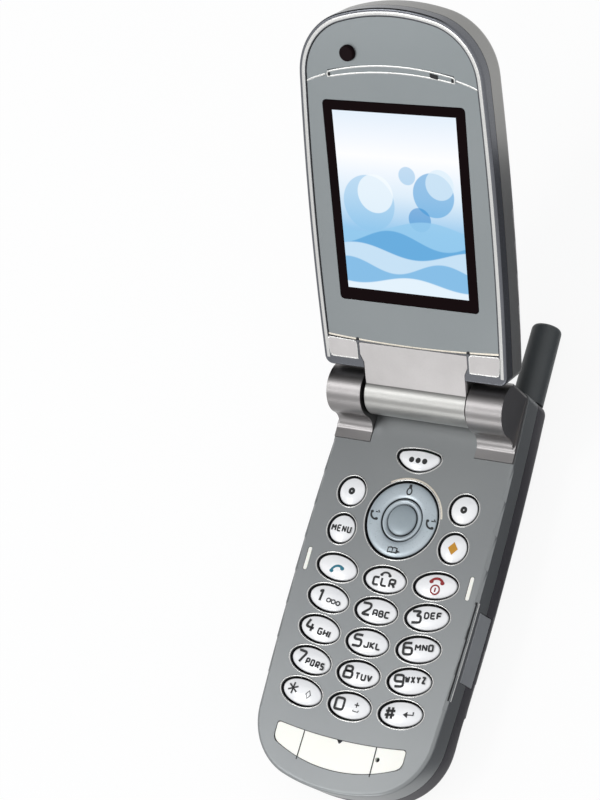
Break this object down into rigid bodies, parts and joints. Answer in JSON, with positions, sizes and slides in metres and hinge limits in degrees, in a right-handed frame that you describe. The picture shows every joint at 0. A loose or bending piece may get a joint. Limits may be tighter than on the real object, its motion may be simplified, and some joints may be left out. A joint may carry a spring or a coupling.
{
  "type": "flip phone",
  "caption": "Clamshell mobile phone, open: hinged lid with screen and camera, oval keypad, round navigation key, side keys and stub antenna.",
  "frame": {"origin": "centre of the flat back face that the base lies on", "axes": "+Z out of the keypad, +Y towards the hinge and antenna, +X the antenna side"},
  "size_m": [0.0486, 0.1623, 0.0816],
  "materials": {
    "antenna_plastic": "matte",
    "battery_wrap": "matte",
    "black_plastic": "matte",
    "blue_silver": "satin",
    "chrome_trim": "polished",
    "circuit_board": "solder mask",
    "clear_window": "gloss",
    "cream_plastic": "gloss translucent",
    "dark_case_plastic": "fine matte",
    "dark_glass": "gloss",
    "dark_window": "gloss",
    "display_plate_paint": "satin",
    "key_plastic": "gloss pearl",
    "keypad_cover_paint": "satin grey metallic",
    "lcd_panel": "gloss",
    "nav_plastic": "satin pearl",
    "rubber": "matte",
    "satin_silver": "satin",
    "silver_paint": "satin metallic",
    "silver_plastic": "satin",
    "steel": "plated",
    "tinned_steel": "bright tin",
    "warm_silver": "fine grained"
  },
  "bodies": {
    "base": {"base_front_cover": "keypad_cover_paint", "base_rear_cover": "dark_case_plastic", "battery_cover": "dark_case_plastic", "battery_pack": "battery_wrap", "main_board": "circuit_board", "shield_can": "tinned_steel", "keypad_membrane": "rubber", "bottom_connector": "black_plastic", "microphone": "black_plastic", "case_screws": "steel", "chin_window": "cream_plastic", "side_light_strips": "cream_plastic", "left_hinge_cap": "satin_silver", "right_hinge_cap": "satin_silver", "hinge_pins": "steel", "antenna": "antenna_plastic"},
    "lid": {"lid_inner_frame": "satin_silver", "lid_outer_shell": "silver_paint", "hinge_skirt": "warm_silver", "lid_corner_pads": "warm_silver", "display_plate": "display_plate_paint", "top_panel": "display_plate_paint", "main_window": "dark_glass", "main_lcd": "lcd_panel", "earpiece_trim": "warm_silver", "earpiece_speaker": "black_plastic", "lid_bumper": "rubber", "lid_board": "circuit_board", "sub_window": "clear_window", "sub_lcd": "lcd_panel", "camera_panel": "blue_silver", "camera_ring": "chrome_trim", "camera_lens": "dark_glass", "flash_lenses": "cream_plastic", "indicator_window": "dark_window"},
    "jack_flap": {"side_jack_cover": "dark_case_plastic"},
    "key_call_cap": {"key_call": "key_plastic"},
    "key_clear_cap": {"key_clear": "key_plastic"},
    "key_end_cap": {"key_end": "key_plastic"},
    "key_1_cap": {"key_1": "key_plastic"},
    "key_2_cap": {"key_2": "key_plastic"},
    "key_3_cap": {"key_3": "key_plastic"},
    "key_4_cap": {"key_4": "key_plastic"},
    "key_5_cap": {"key_5": "key_plastic"},
    "key_6_cap": {"key_6": "key_plastic"},
    "key_7_cap": {"key_7": "key_plastic"},
    "key_8_cap": {"key_8": "key_plastic"},
    "key_9_cap": {"key_9": "key_plastic"},
    "key_star_cap": {"key_star": "key_plastic"},
    "key_0_cap": {"key_0": "key_plastic"},
    "key_hash_cap": {"key_hash": "key_plastic"},
    "soft_key_left_cap": {"soft_key_left": "key_plastic"},
    "soft_key_right_cap": {"soft_key_right": "key_plastic"},
    "menu_key_cap": {"menu_key": "key_plastic"},
    "info_key_cap": {"info_key": "key_plastic"},
    "more_key_cap": {"more_key": "key_plastic"},
    "nav_ring_cap": {"nav_ring": "nav_plastic"},
    "select_button_cap": {"select_button": "nav_plastic"},
    "side_key_upper_cap": {"side_key_upper": "silver_plastic"},
    "side_key_lower_cap": {"side_key_lower": "silver_plastic"}
  },
  "joints": [
    {"name": "lid_hinge", "type": "hinge", "parent": "base", "child": "lid", "pos_m": [0, 0.0426, 0.01806], "axis": [1, 0, 0], "range_deg": [0, 138.3]},
    {"name": "jack_flap_hinge", "type": "hinge", "parent": "base", "child": "jack_flap", "pos_m": [0.0239, -0.0022, 0.00705], "axis": [0, 0, 1], "range_deg": [0, 100]},
    {"name": "key_call_press", "type": "slide", "parent": "base", "child": "key_call_cap", "axis": [0, 0, -1], "range_m": [0, 0.0004], "stiffness_N_per_m": 200, "springref_m": -0.0005},
    {"name": "key_clear_press", "type": "slide", "parent": "base", "child": "key_clear_cap", "axis": [0, 0, -1], "range_m": [0, 0.0004], "stiffness_N_per_m": 200, "springref_m": -0.0005},
    {"name": "key_end_press", "type": "slide", "parent": "base", "child": "key_end_cap", "axis": [0, 0, -1], "range_m": [0, 0.0004], "stiffness_N_per_m": 200, "springref_m": -0.0005},
    {"name": "key_1_press", "type": "slide", "parent": "base", "child": "key_1_cap", "axis": [0, 0, -1], "range_m": [0, 0.0004], "stiffness_N_per_m": 200, "springref_m": -0.0005},
    {"name": "key_2_press", "type": "slide", "parent": "base", "child": "key_2_cap", "axis": [0, 0, -1], "range_m": [0, 0.0004], "stiffness_N_per_m": 200, "springref_m": -0.0005},
    {"name": "key_3_press", "type": "slide", "parent": "base", "child": "key_3_cap", "axis": [0, 0, -1], "range_m": [0, 0.0004], "stiffness_N_per_m": 200, "springref_m": -0.0005},
    {"name": "key_4_press", "type": "slide", "parent": "base", "child": "key_4_cap", "axis": [0, 0, -1], "range_m": [0, 0.0004], "stiffness_N_per_m": 200, "springref_m": -0.0005},
    {"name": "key_5_press", "type": "slide", "parent": "base", "child": "key_5_cap", "axis": [0, 0, -1], "range_m": [0, 0.0004], "stiffness_N_per_m": 200, "springref_m": -0.0005},
    {"name": "key_6_press", "type": "slide", "parent": "base", "child": "key_6_cap", "axis": [0, 0, -1], "range_m": [0, 0.0004], "stiffness_N_per_m": 200, "springref_m": -0.0005},
    {"name": "key_7_press", "type": "slide", "parent": "base", "child": "key_7_cap", "axis": [0, 0, -1], "range_m": [0, 0.0004], "stiffness_N_per_m": 200, "springref_m": -0.0005},
    {"name": "key_8_press", "type": "slide", "parent": "base", "child": "key_8_cap", "axis": [0, 0, -1], "range_m": [0, 0.0004], "stiffness_N_per_m": 200, "springref_m": -0.0005},
    {"name": "key_9_press", "type": "slide", "parent": "base", "child": "key_9_cap", "axis": [0, 0, -1], "range_m": [0, 0.0004], "stiffness_N_per_m": 200, "springref_m": -0.0005},
    {"name": "key_star_press", "type": "slide", "parent": "base", "child": "key_star_cap", "axis": [0, 0, -1], "range_m": [0, 0.0004], "stiffness_N_per_m": 200, "springref_m": -0.0005},
    {"name": "key_0_press", "type": "slide", "parent": "base", "child": "key_0_cap", "axis": [0, 0, -1], "range_m": [0, 0.0004], "stiffness_N_per_m": 200, "springref_m": -0.0005},
    {"name": "key_hash_press", "type": "slide", "parent": "base", "child": "key_hash_cap", "axis": [0, 0, -1], "range_m": [0, 0.0004], "stiffness_N_per_m": 200, "springref_m": -0.0005},
    {"name": "soft_key_left_press", "type": "slide", "parent": "base", "child": "soft_key_left_cap", "axis": [0, 0, -1], "range_m": [0, 0.0004], "stiffness_N_per_m": 200, "springref_m": -0.0005},
    {"name": "soft_key_right_press", "type": "slide", "parent": "base", "child": "soft_key_right_cap", "axis": [0, 0, -1], "range_m": [0, 0.0004], "stiffness_N_per_m": 200, "springref_m": -0.0005},
    {"name": "menu_key_press", "type": "slide", "parent": "base", "child": "menu_key_cap", "axis": [0, 0, -1], "range_m": [0, 0.0004], "stiffness_N_per_m": 200, "springref_m": -0.0005},
    {"name": "info_key_press", "type": "slide", "parent": "base", "child": "info_key_cap", "axis": [0, 0, -1], "range_m": [0, 0.0004], "stiffness_N_per_m": 200, "springref_m": -0.0005},
    {"name": "more_key_press", "type": "slide", "parent": "base", "child": "more_key_cap", "axis": [0, 0, -1], "range_m": [0, 0.0004], "stiffness_N_per_m": 200, "springref_m": -0.0005},
    {"name": "nav_ring_press", "type": "slide", "parent": "base", "child": "nav_ring_cap", "axis": [0, 0, -1], "range_m": [0, 0.0004], "stiffness_N_per_m": 200, "springref_m": -0.0005},
    {"name": "select_button_press", "type": "slide", "parent": "base", "child": "select_button_cap", "axis": [0, 0, -1], "range_m": [0, 0.0004], "stiffness_N_per_m": 200, "springref_m": -0.0005},
    {"name": "side_key_upper_press", "type": "slide", "parent": "base", "child": "side_key_upper_cap", "axis": [1, 0, 0], "range_m": [0, 0.0004], "stiffness_N_per_m": 200, "springref_m": -0.0005},
    {"name": "side_key_lower_press", "type": "slide", "parent": "base", "child": "side_key_lower_cap", "axis": [1, 0, 0], "range_m": [0, 0.0004], "stiffness_N_per_m": 200, "springref_m": -0.0005}
  ]
}
